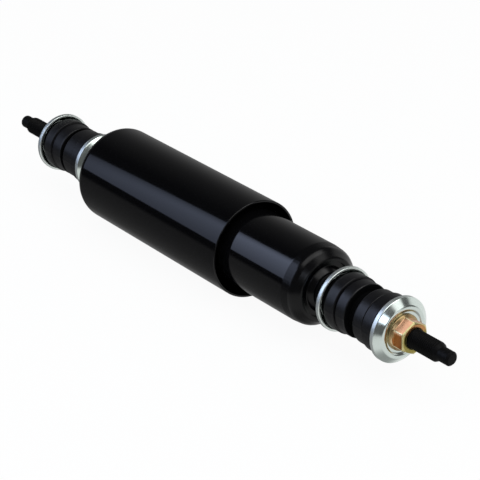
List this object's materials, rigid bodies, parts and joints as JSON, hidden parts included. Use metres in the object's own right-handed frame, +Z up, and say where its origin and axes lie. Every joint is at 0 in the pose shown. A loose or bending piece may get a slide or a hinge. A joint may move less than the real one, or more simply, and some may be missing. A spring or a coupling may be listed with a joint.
{
  "type": "shock absorber",
  "caption": "Twin-tube hydraulic shock absorber with a threaded stud at each end, rubber bushings in cup retainers and a dust shield that telescopes over the reservoir.",
  "frame": {"origin": "on the axis, midway between the two lower bushings, where the lower bracket's plate sits", "axes": "+X along the axis from the lower stud to the upper stud, +Z up with the part lying on its side"},
  "size_m": [0.3555, 0.0508, 0.0508],
  "materials": {
    "gloss_black_paint": "gloss black stoved paint on drawn steel tube",
    "black_stud": "black coated rolled thread",
    "bright_zinc": "bright clear zinc plate on pressed steel",
    "yellow_zinc": "yellow chromated zinc plate",
    "bushing_rubber": "satin moulded rubber",
    "seal_rubber": "moulded nitrile rubber",
    "chromed_rod": "hard chrome on ground steel, black coated at the stud",
    "drawn_steel": "oiled drawn steel",
    "spring_steel": "polished spring strip",
    "sintered_iron": "sintered iron",
    "bronze": "bronze-lined bush",
    "filled_ptfe": "filled low-friction plastic"
  },
  "bodies": {
    "reservoir": {"reservoir_tube": "gloss_black_paint", "base_cap": "gloss_black_paint", "lower_stud": "black_stud", "pressure_tube": "drawn_steel", "base_valve_body": "sintered_iron", "base_valve_pin": "drawn_steel", "base_compression_discs": "spring_steel", "base_check_spring": "spring_steel", "rod_guide": "sintered_iron", "rod_guide_bushing": "bronze", "rod_seal": "seal_rubber", "seal_washer": "drawn_steel", "guide_o_ring": "seal_rubber", "lower_inner_retainer": "bright_zinc", "lower_inner_bushing": "bushing_rubber", "lower_outer_bushing": "bushing_rubber", "lower_outer_retainer": "bright_zinc", "lower_nut": "yellow_zinc"},
    "base_check": {"base_check_plate": "spring_steel"},
    "band": {"piston_band": "filled_ptfe"},
    "rod": {"piston_rod": "chromed_rod", "dust_shield": "gloss_black_paint", "shield_collar": "gloss_black_paint", "piston": "sintered_iron", "piston_check_spring": "spring_steel", "check_stop_washer": "drawn_steel", "rebound_discs": "spring_steel", "rebound_backing_washer": "drawn_steel", "piston_nut": "drawn_steel", "rebound_stop": "drawn_steel", "rebound_bumper": "bushing_rubber", "upper_inner_retainer": "bright_zinc", "upper_inner_bushing": "bushing_rubber", "upper_outer_bushing": "bushing_rubber", "upper_outer_retainer": "bright_zinc", "upper_nut": "yellow_zinc"},
    "piston_check": {"piston_check_plate": "spring_steel"}
  },
  "joints": [
    {"name": "rod_slide", "type": "slide", "parent": "reservoir", "child": "band", "axis": [1, 0, 0], "range_m": [-0.007, 0.078]},
    {"name": "rod_spin", "type": "hinge", "parent": "band", "child": "rod", "pos_m": [0.075, 0, 0], "axis": [1, 0, 0], "continuous": true},
    {"name": "base_check_lift", "type": "slide", "parent": "reservoir", "child": "base_check", "axis": [1, 0, 0], "range_m": [0, 0.0008], "stiffness_N_per_m": 300, "springref_m": -0.0005, "deforming": ["base_check_spring"]},
    {"name": "piston_check_lift", "type": "slide", "parent": "rod", "child": "piston_check", "axis": [1, 0, 0], "range_m": [0, 0.0008], "stiffness_N_per_m": 300, "springref_m": -0.0005, "deforming": ["piston_check_spring"]}
  ]
}
